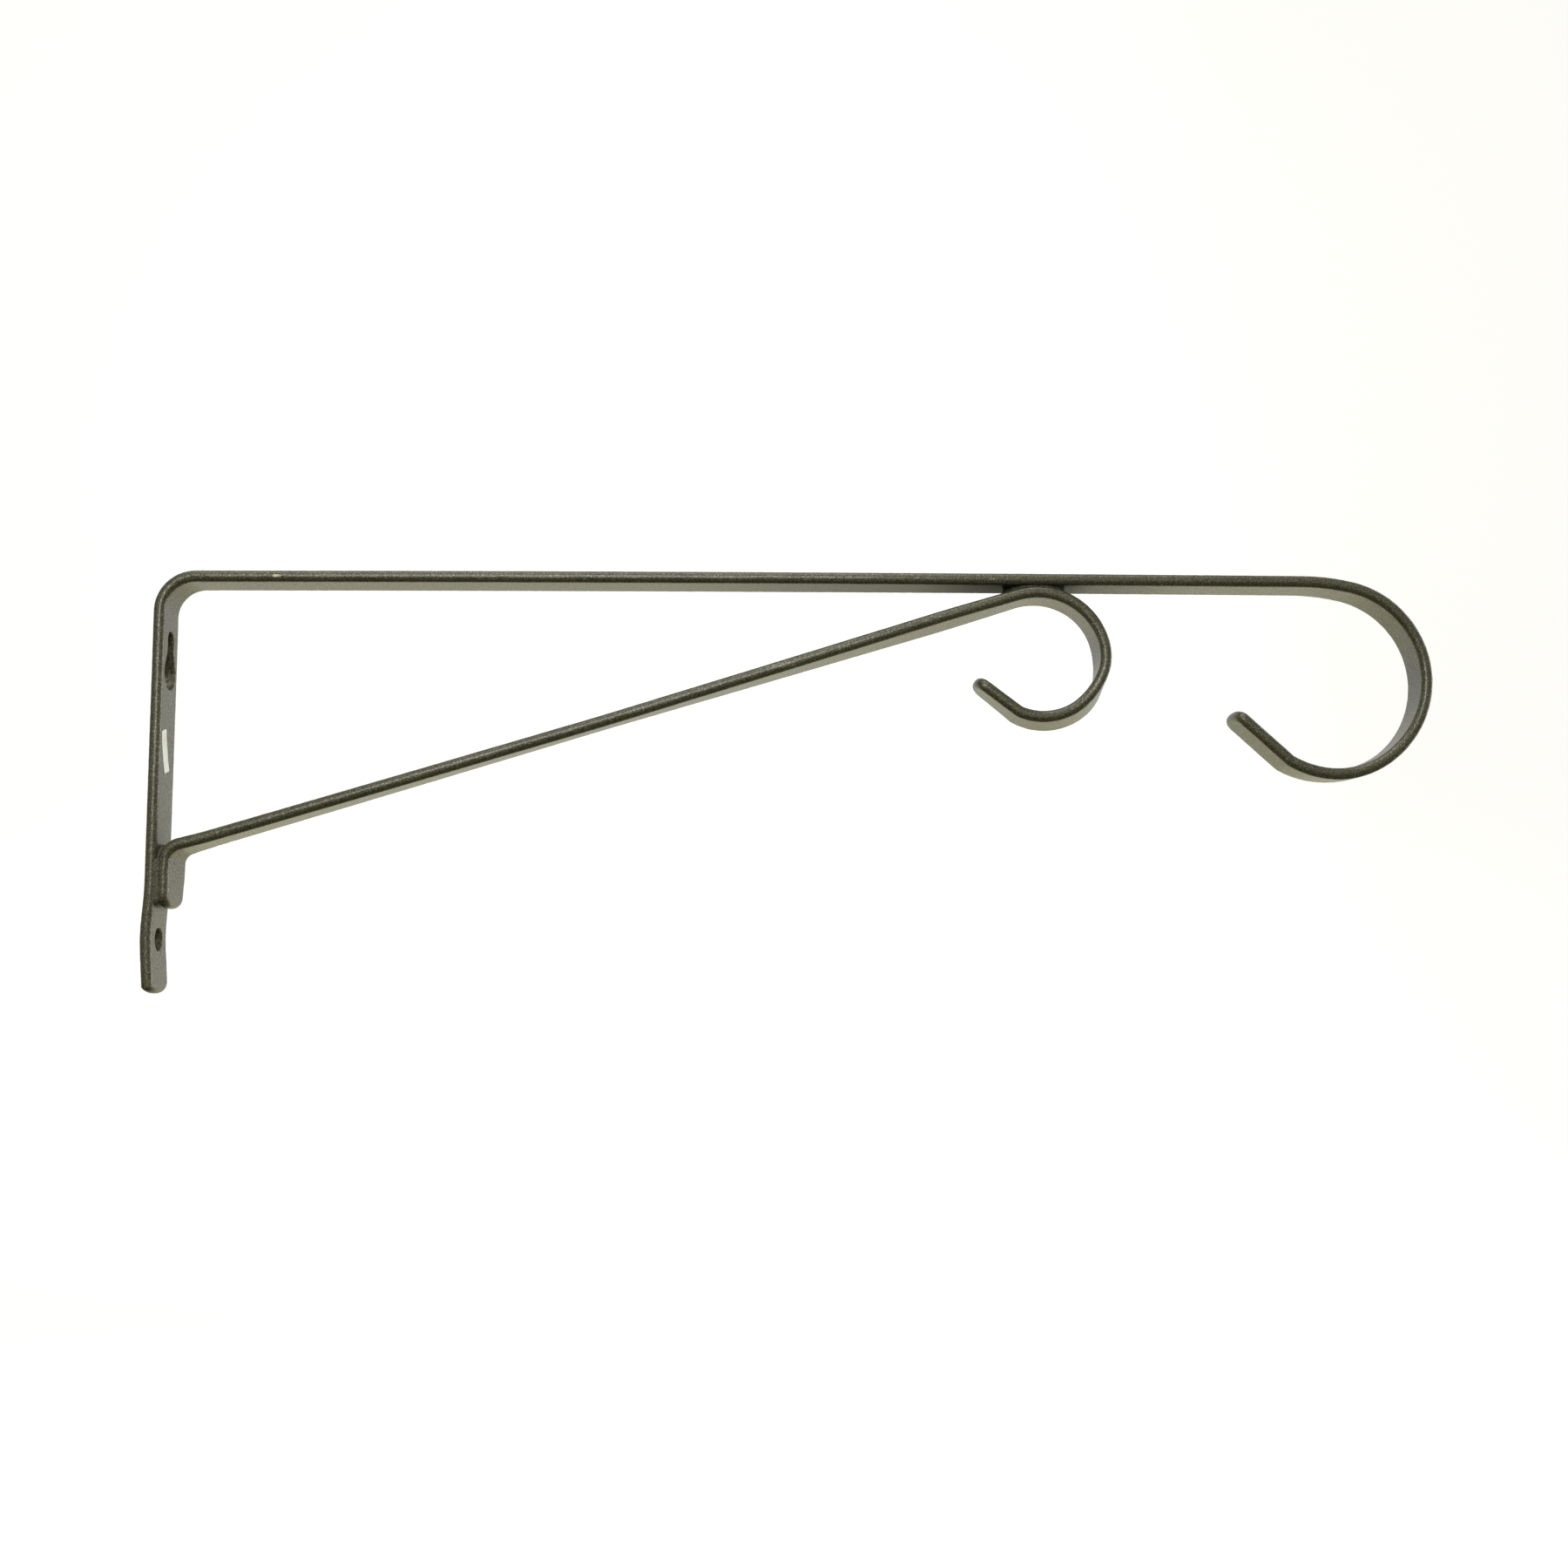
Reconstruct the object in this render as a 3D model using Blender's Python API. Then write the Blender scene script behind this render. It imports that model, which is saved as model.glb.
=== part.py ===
"""Wall bracket for a hanging basket, bent from two flat steel strips.

The long strip is punched, then bent into a wall leg, an arm and a large hook.
The short strip is bent into a foot, a sloping brace, a crown that meets the
underside of the arm, and a small hook. Weld beads join foot to leg and crown
to arm. Metres, +Z up, +X away from the wall, Y across the strip. The back of
the leg is the plane x = 0, and z = 0 is the middle of that flat back.
"""

import bmesh
import bpy
from math import acos, asin, atan2, ceil, copysign, cos, hypot, pi, radians, sin, sqrt

# Both strips: painted flat bar with rolled edges. Each end is half a superellipse,
# and a squareness of 2 would make it a plain half ellipse.
STRIP_WIDTH = 0.0152
STRIP_THICKNESS = 0.0035
EDGE_ROUND = 0.0014
END_CROWN = 0.0041
END_SQUARENESS = 2.6

# Clearance left between surfaces that are welded or seated on each other
SEAT_GAP = 0.0003

# Long strip, from the bottom tab to the tip of the large hook
TAB_LENGTH = 0.0156
JOGGLE_LENGTH = 0.0114
KINK_LENGTH = 0.0020
TAB_ANGLE = radians(7.6)
JOGGLE_ANGLE = radians(3.5)
LEG_LENGTH = 0.0815
CORNER_RADIUS = 0.0102
ARM_LENGTH = 0.3288
ARM_BOW = radians(0.5)
LARGE_LEAD_RADIUS = 0.0690
LARGE_LEAD_ANGLE = radians(12.3)
LARGE_HOOK_RADIUS = 0.0285
LARGE_HOOK_ANGLE = radians(123.5)
LARGE_CLOSING_RADIUS = 0.0275
LARGE_CLOSING_ANGLE = radians(73.6)
LARGE_KINK_RADIUS = 0.0028
LARGE_KINK_ANGLE = radians(12.6)
LARGE_LIP_LENGTH = 0.0214

# Short strip, from the end of the foot to the tip of the small hook
FOOT_LENGTH = 0.0136
FOOT_BELOW_LEG = 0.0063
FOOT_LEAN = radians(1.3)
FOOT_BEND_RADIUS = 0.0052
BRACE_BOW = radians(0.5)
CROWN_REACH = 0.2618
CROWN_RADIUS = 0.0216
SMALL_HOOK_RADIUS = 0.0198
SMALL_HOOK_ANGLE = radians(94.4)
SMALL_CLOSING_RADIUS = 0.0180
SMALL_CLOSING_ANGLE = radians(110.9)
SMALL_KINK_RADIUS = 0.0028
SMALL_KINK_ANGLE = radians(13.1)
SMALL_LIP_LENGTH = 0.0158

# Small turns of each strip about its own length, left by cold bending
TAB_TWIST = radians(2.6)
BRACE_TWIST = radians(-4.1)
BRACE_TOP_TWIST = radians(3.5)
SMALL_MIDDLE_TWIST = radians(-1.4)
SMALL_HOOK_TWIST = radians(2.4)
SMALL_RISE_TWIST = radians(-11.4)
SMALL_FADE_TWIST = radians(-6.1)
SMALL_LIP_TWIST = radians(3.1)
LARGE_HOOK_TWIST = radians(-1.8)
LARGE_CLOSING_TWIST = radians(2.7)
TWIST_RISE_SHARE = 0.24
TWIST_FADE_SHARE = 0.7

# Keyhole near the top of the leg: a head hole with a narrower slot above it
KEYHOLE_BELOW_CORNER = 0.0179
KEYHOLE_HEAD_RADIUS = 0.00495
KEYHOLE_SLOT_RADIUS = 0.0027
KEYHOLE_SLOT_RISE = 0.0097
KEYHOLE_FLANK_ANGLE = radians(25)

# Round screw hole in the tab
TAB_HOLE_RADIUS = 0.0033
TAB_HOLE_FROM_END = 0.0157

# Punched holes have a small rolled rim on both faces
HOLE_RIM = 0.0004

# Weld beads lie across the strips, in the notches beside each contact
BEAD_INSET = 0.0022
BEAD_ROOT_THICKNESS = 0.00025
WALL_SIDE_BEAD_LEG = 0.0032
HOOK_SIDE_BEAD_LEG = 0.0024
FOOT_BEAD_LEG = 0.0026
BEAD_BULGE_SHARE = 0.22
BEAD_SECTIONS = 9
BEAD_STEPS = 6
HALVINGS = 32

# A narrow seam bead lies along the foot, in the groove between its near edge and the leg's
SEAM_ROOT_WIDTH = 0.00015
SEAM_BELOW_FACE = 0.0001
SEAM_BULGE_SHARE = 0.15
SEAM_SECTIONS = 7
SEAM_STEPS = 4

# Fineness of the faceted surfaces
BEND_STEP = radians(5)
STRAIGHT_STEP = 0.020
END_SEGMENTS = 16
EDGE_SEGMENTS = 4
HOLE_SEGMENTS = 32
SMOOTH_ANGLE = radians(32)

half_width = STRIP_WIDTH / 2
half_thickness = STRIP_THICKNESS / 2


def clear_scene():
    for item in list(bpy.data.objects):
        bpy.data.objects.remove(item, do_unlink=True)


def paint(name, colour, roughness, metallic):
    material = bpy.data.materials.new(name)
    material.use_nodes = True
    shader = material.node_tree.nodes["Principled BSDF"]
    shader.inputs["Base Color"].default_value = (*colour, 1.0)
    shader.inputs["Roughness"].default_value = roughness
    shader.inputs["Metallic"].default_value = metallic
    return material


class Run:
    """Centre line of a bent strip in the XZ plane, measured by its own length.

    Each named piece holds the distance and length along the strip, its first
    point and heading, and the angle that it turns through.
    """

    def __init__(self, start, heading):
        self.pieces = {}
        self.corner = (start[0], start[1])
        self.heading = heading
        self.length = 0

    def add(self, name, length, turn):
        piece = (self.length, length, self.corner, self.heading, turn)
        self.pieces[name] = piece
        self.corner, self.heading = self.place_on(piece, length)
        self.length += length

    def straight(self, name, length):
        self.add(name, length, 0)

    def bend(self, name, radius, turn):
        self.add(name, radius * abs(turn), turn)

    def place_on(self, piece, along):
        first, length, (x, z), heading, turn = piece
        if turn == 0:
            return (x + along * cos(heading), z + along * sin(heading)), heading
        rate = turn / length
        final = heading + rate * along
        x += (sin(final) - sin(heading)) / rate
        z -= (cos(final) - cos(heading)) / rate
        return (x, z), final

    def at(self, distance):
        """Point and heading of the centre line at a distance from its start."""
        for piece in self.pieces.values():
            if distance <= piece[0] + piece[1]:
                break
        return self.place_on(piece, distance - piece[0])

    def cuts(self):
        """Distances at which the strip is divided, finer in bends than in straights."""
        found = []
        for first, length, corner, heading, turn in self.pieces.values():
            steps = max(ceil(abs(turn) / BEND_STEP), ceil(length / STRAIGHT_STEP))
            found += [first + length * step / steps for step in range(steps)]
        return [s for s in found if END_CROWN < s < self.length - END_CROWN]

    def start_of(self, name):
        return self.pieces[name][0]

    def end_of(self, name):
        return self.pieces[name][0] + self.pieces[name][1]

    def middle_of(self, name):
        return (self.start_of(name) + self.end_of(name)) / 2


def turn_at(twists, distance):
    """Turn of the section about the strip's length, straight between listed places."""
    before = twists[0]
    for after in twists[1:]:
        if distance <= after[0]:
            share = (distance - before[0]) / (after[0] - before[0])
            return before[1] + share * (after[1] - before[1])
        before = after
    return before[1]


def on_strip(run, twists, along, across, through):
    """World point of a flat strip's own point after the strip is bent and turned."""
    (x, z), heading = run.at(along)
    turn = turn_at(twists, along)
    outward = through * cos(turn) - across * sin(turn)
    sideways = through * sin(turn) + across * cos(turn)
    return (x - sin(heading) * outward, sideways, z + cos(heading) * outward)


def strip_outline(length):
    """Plan of the flat strip: straight sides with half a superellipse at each end."""
    power = 2 / END_SQUARENESS
    outline = []
    for side, centre in ((1, length - END_CROWN), (-1, END_CROWN)):
        for step in range(END_SEGMENTS + 1):
            angle = pi * step / END_SEGMENTS - pi / 2
            along = centre + side * END_CROWN * abs(cos(angle)) ** power
            across = copysign(half_width * abs(sin(angle)) ** power, side * sin(angle))
            outline.append((along, across))
    return outline


def bent_strip(name, run, twists, material):
    """Blank cut flat, its rims rolled, divided across its length, and then bent."""
    work = bmesh.new()
    outline = strip_outline(run.length)
    base = work.faces.new([work.verts.new((x, y, -half_thickness)) for x, y in outline])
    base.normal_flip()
    lifted = bmesh.ops.extrude_face_region(work, geom=[base])
    top = [item for item in lifted["geom"] if isinstance(item, bmesh.types.BMVert)]
    bmesh.ops.translate(work, verts=top, vec=(0, 0, STRIP_THICKNESS))
    bmesh.ops.recalc_face_normals(work, faces=work.faces)
    rims = [edge for edge in work.edges if edge.verts[0].co.z == edge.verts[1].co.z]
    bmesh.ops.bevel(work, geom=rims, offset=EDGE_ROUND, offset_type="OFFSET",
                    segments=EDGE_SEGMENTS, profile=0.5, affect="EDGES")
    for distance in run.cuts():
        everything = [*work.verts, *work.edges, *work.faces]
        bmesh.ops.bisect_plane(work, geom=everything, dist=0, plane_co=(distance, 0, 0),
                               plane_no=(1, 0, 0))
    for vertex in work.verts:
        vertex.co = on_strip(run, twists, *vertex.co)
    return finished(name, work, material)


def finished(name, work, material):
    mesh = bpy.data.meshes.new(name)
    work.to_mesh(mesh)
    work.free()
    mesh.materials.append(material)
    mesh.shade_smooth()
    mesh.set_sharp_from_angle(angle=SMOOTH_ANGLE)
    item = bpy.data.objects.new(name, mesh)
    bpy.context.scene.collection.objects.link(item)
    return item


def lofted(name, rings, material):
    """Closed solid through equal rings of points, capped at both ends."""
    work = bmesh.new()
    loops = [[work.verts.new(point) for point in ring] for ring in rings]
    count = len(rings[0])
    for near, far in zip(loops, loops[1:]):
        for step in range(count):
            following = (step + 1) % count
            work.faces.new((near[step], near[following], far[following], far[step]))
    work.faces.new(loops[0])
    work.faces.new(loops[-1])
    bmesh.ops.recalc_face_normals(work, faces=work.faces)
    return finished(name, work, material)


def keyhole_outline(grow):
    """Head circle and slot above it, joined by straight flanks that touch the circle."""
    head = KEYHOLE_HEAD_RADIUS + grow
    slot = KEYHOLE_SLOT_RADIUS + grow
    flank = KEYHOLE_FLANK_ANGLE
    outline = []
    arc_steps = HOLE_SEGMENTS // 2
    for step in range(2 * arc_steps + 1):
        angle = flank - (pi + 2 * flank) * step / (2 * arc_steps)
        outline.append((head * cos(angle), head * sin(angle)))
    shoulder = head * sin(flank) + (head * cos(flank) - slot) * cos(flank) / sin(flank)
    outline.append((-slot, shoulder))
    for step in range(arc_steps + 1):
        angle = pi - pi * step / arc_steps
        outline.append((slot * cos(angle), KEYHOLE_SLOT_RISE + slot * sin(angle)))
    outline.append((slot, shoulder))
    return outline


def round_outline(grow):
    radius = TAB_HOLE_RADIUS + grow
    angles = [2 * pi * step / HOLE_SEGMENTS for step in range(HOLE_SEGMENTS)]
    return [(radius * cos(angle), radius * sin(angle)) for angle in angles]


def punch(target, name, run, twists, along, outline):
    """Cutter square through the strip at a distance along it, wider at both faces."""
    (x, z), heading = run.at(along)
    turn = turn_at(twists, along)
    depths = [(-STRIP_THICKNESS, HOLE_RIM + half_thickness), (-half_thickness, HOLE_RIM),
              (HOLE_RIM - half_thickness, 0), (half_thickness - HOLE_RIM, 0),
              (half_thickness, HOLE_RIM), (STRIP_THICKNESS, HOLE_RIM + half_thickness)]
    rings = []
    for through, grow in depths:
        ring = []
        for across, up in outline(grow):
            outward = through * cos(turn) - across * sin(turn)
            sideways = through * sin(turn) + across * cos(turn)
            ring.append((x + cos(heading) * up - sin(heading) * outward, sideways,
                         z + sin(heading) * up + cos(heading) * outward))
        rings.append(ring)
    cutter = lofted(name, rings, target.data.materials[0])
    cutter.hide_render = True
    cutter.display_type = "WIRE"
    modifier = target.modifiers.new(name, "BOOLEAN")
    modifier.operation = "DIFFERENCE"
    modifier.solver = "EXACT"
    modifier.object = cutter


def notch_bead(name, run, twists, start, direction, seat, leg, material):
    """Bead between the outer face of the short strip and a flat face it leans on.

    start is where the strips touch, direction is the way the notch opens along
    the strip, seat moves a point onto the flat face, and leg is the opening at
    which the bead ends.
    """
    reach = half_width - BEAD_INSET
    rings = []
    for section in range(BEAD_SECTIONS):
        across = reach * (2 * section / (BEAD_SECTIONS - 1) - 1)
        ease = sqrt(1 - (across / half_width) ** 2)
        root = notch_place(run, twists, start, direction, across, seat, BEAD_ROOT_THICKNESS)
        mouth = notch_place(run, twists, start, direction, across, seat, leg * ease)
        under = []
        over = []
        for step in range(BEAD_STEPS + 1):
            along = root + (mouth - root) * step / BEAD_STEPS
            point = on_strip(run, twists, along, across, half_thickness + SEAT_GAP)
            under.append(point)
            over.append(seat(point))
        belly = outward_bulge(under[-1], over[-1], under[-2], BEAD_BULGE_SHARE)
        rings.append(under + [belly] + over[::-1])
    return lofted(name, rings, material)


def notch_place(run, twists, start, direction, across, seat, thickness):
    """Distance along the strip at which the notch has opened to a bead's thickness.

    The stretch that holds the place is halved until it is far below any size here.
    """
    near = start
    far = start + direction * (CROWN_RADIUS + half_width)
    for _ in range(HALVINGS):
        middle = (near + far) / 2
        point = on_strip(run, twists, middle, across, half_thickness + SEAT_GAP)
        flat = seat(point)
        opening = (flat[2] - point[2]) + (point[0] - flat[0])
        if opening < thickness:
            near = middle
        else:
            far = middle
    return far


def outward_bulge(low, high, inner, share):
    """Middle of the bead's free face, pushed out by a share of the face's height."""
    middle = [(a + b) / 2 for a, b in zip(low, high)]
    push = [a - b for a, b in zip(low, inner)]
    size = hypot(*push)
    height = hypot(*[a - b for a, b in zip(low, high)])
    return tuple(m + share * height * p / size for m, p in zip(middle, push))


def seam_bead(name, leg, leg_twists, foot, foot_twists, material):
    """Bead in the groove that the rolled edges of the leg and the foot leave between them.

    Each section runs out along the leg's edge and back along the foot's, from
    where the groove is wide enough for metal to just below the strips' sides.
    """
    lifted = EDGE_ROUND + SEAT_GAP
    root = acos((2 * EDGE_ROUND + SEAT_GAP - SEAM_ROOT_WIDTH) / (2 * lifted))
    mouth = asin((EDGE_ROUND - SEAM_BELOW_FACE) / lifted)
    rings = []
    for section in range(SEAM_SECTIONS):
        share = section / (SEAM_SECTIONS - 1)
        on_foot = END_CROWN + (foot.end_of("foot") - END_CROWN) * share
        height = foot.at(on_foot)[0][1] - leg.at(leg.start_of("leg"))[0][1]
        on_leg = leg.start_of("leg") + height
        near_leg = []
        near_foot = []
        for step in range(SEAM_STEPS + 1):
            angle = root + (mouth - root) * step / SEAM_STEPS
            across = EDGE_ROUND - half_width - lifted * sin(angle)
            through = half_thickness - EDGE_ROUND + lifted * cos(angle)
            near_leg.append(on_strip(leg, leg_twists, on_leg, across, -through))
            near_foot.append(on_strip(foot, foot_twists, on_foot, across, through))
        belly = outward_bulge(near_leg[-1], near_foot[-1], near_leg[-2], SEAM_BULGE_SHARE)
        rings.append(near_leg + [belly] + near_foot[::-1])
    return lofted(name, rings, material)


def long_run():
    """Tab, joggle, leg, arm and large hook, placed so that the leg's back is x = 0."""
    trial = Run((0, 0), pi / 2 - JOGGLE_ANGLE + TAB_ANGLE)
    lay_long(trial)
    (x, z), heading = trial.at(trial.start_of("leg"))
    run = Run((half_thickness - x, -LEG_LENGTH / 2 - z), pi / 2 - JOGGLE_ANGLE + TAB_ANGLE)
    lay_long(run)
    return run


def lay_long(run):
    run.straight("tab", TAB_LENGTH)
    run.add("tab kink", KINK_LENGTH, -TAB_ANGLE)
    run.straight("joggle", JOGGLE_LENGTH)
    run.add("leg kink", KINK_LENGTH, JOGGLE_ANGLE)
    run.straight("leg", LEG_LENGTH)
    run.bend("corner", CORNER_RADIUS, ARM_BOW / 2 - pi / 2)
    run.add("arm", ARM_LENGTH, -ARM_BOW)
    run.bend("lead", LARGE_LEAD_RADIUS, -LARGE_LEAD_ANGLE)
    run.bend("hook", LARGE_HOOK_RADIUS, -LARGE_HOOK_ANGLE)
    run.bend("closing", LARGE_CLOSING_RADIUS, -LARGE_CLOSING_ANGLE)
    run.bend("lip kink", LARGE_KINK_RADIUS, -LARGE_KINK_ANGLE)
    run.straight("lip", LARGE_LIP_LENGTH)


def brace_slope(foot_top, foot_heading, crown):
    """Mean slope and length of the slightly sagging brace between the two bends.

    It touches the foot's bend and the crown's, and bends by BRACE_BOW on its way.
    """
    half_bow = BRACE_BOW / 2
    bend_centre = (foot_top[0] + FOOT_BEND_RADIUS * sin(foot_heading),
                   foot_top[1] - FOOT_BEND_RADIUS * cos(foot_heading))
    crown_centre = (crown[0], crown[1] - CROWN_RADIUS)
    run_x = crown_centre[0] - bend_centre[0]
    run_z = crown_centre[1] - bend_centre[1]
    difference = (CROWN_RADIUS - FOOT_BEND_RADIUS) * cos(half_bow)
    reach = sqrt(run_x ** 2 + run_z ** 2 - difference ** 2)
    chord = reach - (CROWN_RADIUS + FOOT_BEND_RADIUS) * sin(half_bow)
    slope = atan2(run_z, run_x) + atan2(difference, reach)
    return slope, chord * half_bow / sin(half_bow)


def arm_underside(arm, reach):
    """Height of the arm's lower face at a distance from the wall."""
    along = arm.start_of("arm")
    corner = arm.at(along)[0]
    height = arm.at(along + reach - corner[0])[0][1]
    return height - half_thickness


def short_run(crown_seat):
    """Foot, brace, crown and small hook, seated on the leg and under the arm."""
    heading = pi / 2 - FOOT_LEAN
    start = (STRIP_THICKNESS + SEAT_GAP + half_thickness, -LEG_LENGTH / 2 - FOOT_BELOW_LEG)
    run = Run(start, heading)
    run.straight("foot", FOOT_LENGTH)
    crown = (CROWN_REACH, crown_seat - SEAT_GAP - half_thickness)
    slope, length = brace_slope(run.corner, heading, crown)
    low = slope - BRACE_BOW / 2
    high = slope + BRACE_BOW / 2
    run.bend("foot bend", FOOT_BEND_RADIUS, low - heading)
    run.add("brace", length, BRACE_BOW)
    run.bend("crown", CROWN_RADIUS, -high)
    run.bend("hook", SMALL_HOOK_RADIUS, -SMALL_HOOK_ANGLE)
    run.bend("closing", SMALL_CLOSING_RADIUS, -SMALL_CLOSING_ANGLE)
    run.bend("lip kink", SMALL_KINK_RADIUS, -SMALL_KINK_ANGLE)
    run.straight("lip", SMALL_LIP_LENGTH)
    return run


def long_twists(run):
    return [(0, TAB_TWIST), (run.end_of("tab"), TAB_TWIST), (run.end_of("joggle"), 0),
            (run.end_of("lead"), 0), (run.end_of("hook"), LARGE_HOOK_TWIST),
            (run.middle_of("closing"), LARGE_CLOSING_TWIST), (run.start_of("lip"), 0),
            (run.length, 0)]


def short_twists(run):
    """The foot turns so that its near edge stays along the leg while its middle leans off."""
    foot_turn = 2 * FOOT_LENGTH * sin(FOOT_LEAN) / STRIP_WIDTH
    closing = run.end_of("closing") - run.start_of("closing")
    early = run.start_of("closing") + TWIST_RISE_SHARE * closing
    late = run.start_of("closing") + TWIST_FADE_SHARE * closing
    return [(0, 0), (run.end_of("foot"), foot_turn),
            (run.start_of("brace") + FOOT_BEND_RADIUS, 0),
            (run.middle_of("brace"), BRACE_TWIST),
            (run.end_of("brace") - CROWN_RADIUS, BRACE_TOP_TWIST),
            (run.end_of("crown"), 0), (run.middle_of("hook"), SMALL_MIDDLE_TWIST),
            (run.end_of("hook"), SMALL_HOOK_TWIST), (early, SMALL_RISE_TWIST),
            (late, SMALL_FADE_TWIST), (run.start_of("lip"), 0),
            (run.length, SMALL_LIP_TWIST)]


def build():
    clear_scene()
    strip_paint = paint("hammered_green_grey_enamel", (0.085, 0.083, 0.068), 0.42, 0.35)
    bead_paint = paint("painted_weld_metal", (0.075, 0.073, 0.060), 0.50, 0.35)

    arm = long_run()
    arm_turns = long_twists(arm)
    arm_bar = bent_strip("arm_bar", arm, arm_turns, strip_paint)
    keyhole_place = arm.end_of("leg") - KEYHOLE_BELOW_CORNER
    punch(arm_bar, "keyhole_punch", arm, arm_turns, keyhole_place, keyhole_outline)
    punch(arm_bar, "tab_hole_punch", arm, arm_turns, TAB_HOLE_FROM_END, round_outline)

    brace = short_run(arm_underside(arm, CROWN_REACH))
    turns = short_twists(brace)
    bent_strip("brace_bar", brace, turns, strip_paint)

    def under_arm(point):
        return (point[0], point[1], arm_underside(arm, point[0]) - SEAT_GAP)

    def on_leg(point):
        return (STRIP_THICKNESS + SEAT_GAP, point[1], point[2])

    crown = brace.end_of("crown")
    foot_top = brace.end_of("foot")
    notch_bead("crown_weld_wall_side", brace, turns, crown, -1, under_arm,
               WALL_SIDE_BEAD_LEG, bead_paint)
    notch_bead("crown_weld_hook_side", brace, turns, crown, 1, under_arm,
               HOOK_SIDE_BEAD_LEG, bead_paint)
    notch_bead("foot_weld", brace, turns, foot_top, 1, on_leg, FOOT_BEAD_LEG, bead_paint)
    seam_bead("foot_seam_weld", arm, arm_turns, brace, turns, bead_paint)


build()
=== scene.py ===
# Looks of a wall bracket for a hanging basket: two flat steel strips, bent cold, welded
# together at the crown and the foot, and sprayed with grey-green hammer-finish enamel.
# Metres, +X out from the wall, +Z up, Y across the strips.
from math import atan2, cos, pi, radians, sin, sqrt

import bmesh
import bpy
import numpy as np
from mathutils import Euler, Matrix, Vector


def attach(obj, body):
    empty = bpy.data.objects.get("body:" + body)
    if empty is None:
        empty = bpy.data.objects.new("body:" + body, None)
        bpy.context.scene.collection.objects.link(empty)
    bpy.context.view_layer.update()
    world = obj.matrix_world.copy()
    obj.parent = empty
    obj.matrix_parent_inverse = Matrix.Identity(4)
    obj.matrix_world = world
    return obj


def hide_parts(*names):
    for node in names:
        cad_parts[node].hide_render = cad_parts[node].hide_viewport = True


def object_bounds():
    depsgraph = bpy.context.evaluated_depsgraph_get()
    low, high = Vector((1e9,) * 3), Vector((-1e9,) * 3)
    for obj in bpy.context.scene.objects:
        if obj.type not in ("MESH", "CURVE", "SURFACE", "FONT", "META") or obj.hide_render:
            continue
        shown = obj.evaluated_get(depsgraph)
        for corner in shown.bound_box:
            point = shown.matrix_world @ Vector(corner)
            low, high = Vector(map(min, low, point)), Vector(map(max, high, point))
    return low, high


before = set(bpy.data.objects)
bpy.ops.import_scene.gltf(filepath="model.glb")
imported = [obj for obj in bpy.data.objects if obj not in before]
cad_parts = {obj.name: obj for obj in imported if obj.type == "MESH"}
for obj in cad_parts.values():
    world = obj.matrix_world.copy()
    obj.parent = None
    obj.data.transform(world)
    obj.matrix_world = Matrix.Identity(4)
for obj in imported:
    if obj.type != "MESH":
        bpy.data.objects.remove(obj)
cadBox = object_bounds()
print("frame loaded:", ", ".join(sorted(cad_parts)))

tiny = 1e-9                    # keeps divisions finite


def linear(colour):
    # sRGB hex to linear, with full alpha
    parts = [int(colour[i:i + 2], 16) / 255 for i in (1, 3, 5)]
    curved = [c / 12.92 if c <= 0.04045 else ((c + 0.055) / 1.055) ** 2.4 for c in parts]
    return (*curved, 1.0)


def addNode(tree, kind, settings=None, links=None):
    # One shader node. A setting is a property or an input value, a link is input: output socket. A
    # Mix of colours has its factor at input 0, the colours at 6 and 7, and its result at output 2.
    node = tree.nodes.new("ShaderNode" + kind)
    for name, value in (settings or {}).items():
        if isinstance(name, str) and hasattr(node, name):
            setattr(node, name, value)
        else:
            node.inputs[name].default_value = value
    for name, source in (links or {}).items():
        tree.links.new(source, node.inputs[name])
    return node


def newMaterial(name):
    material = bpy.data.materials.new(name)
    material.use_nodes = True
    tree = material.node_tree
    tree.nodes.clear()
    return material, tree


# Flat bar that both strips are cut from, at its coated size
bar = {
    "width": 0.0152,
    "thickness": 0.0035,
    "edgeRound": 0.0016,       # radius of the rolled edges
    "endCrown": 0.0041,        # how far the rounded end reaches along the strip
    "endSquareness": 2.6,      # 2 would be a half ellipse
    "seatGap": 0.0003,         # room between surfaces that are welded
    "gridStep": 0.0005,        # fineness along the strip
    "endSteps": 40,
    "faceSteps": 9,
    "arcSteps": 9,
    "edgeSteps": 2,
    "twistBlend": 0.005,       # each way, over which one twist eases into the next
    "twistSamples": 5,         # places in that stretch whose twist is averaged
    "mergeWithin": 1e-7,
    "sharpDegrees": 50,        # faces that meet more steeply keep a crisp edge
}

# Skin of the enamel: shallow random waves, always inwards from the bar's true size
skin = {
    "depth": 0.000022,
    "inwards": 1.12,           # mean, in depths; above 1 no crest reaches the true surface
    "waves": 48,
    "shortest": 0.0011,
    "longest": 0.0042,
    "seed": 7,
}

# Long strip, tab to large hook. Lengths in metres, bends as radius and degrees, twists in degrees.
# The tab's and the leg's kinks are a length and degrees.
longStrip = {
    "tab": 0.0126,
    "tabKink": (0.0080, -7.6),
    "joggle": 0.0064,
    "legKink": (0.0060, 3.5),
    "leg": 0.0795,
    "legTop": 0.04075,
    "cornerRadius": 0.0102,
    "arm": 0.3288,
    "armBow": 0.5,
    "lead": (0.0690, 12.3),
    "hook": (0.0285, 123.5),
    "closing": (0.0275, 73.6),
    "lipKink": (0.0028, 12.6),
    "lip": 0.0214,
    "tabNearCrown": 0.0018,    # the tab's end was sheared a little askew, so one corner is sharper
    "tabNearSquareness": 2.0,
    "tabTwist": 2.6,
    "legTwist": 1.5,
    "hookTwist": -1.8,
    "closingTwist": 2.7,
}

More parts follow.
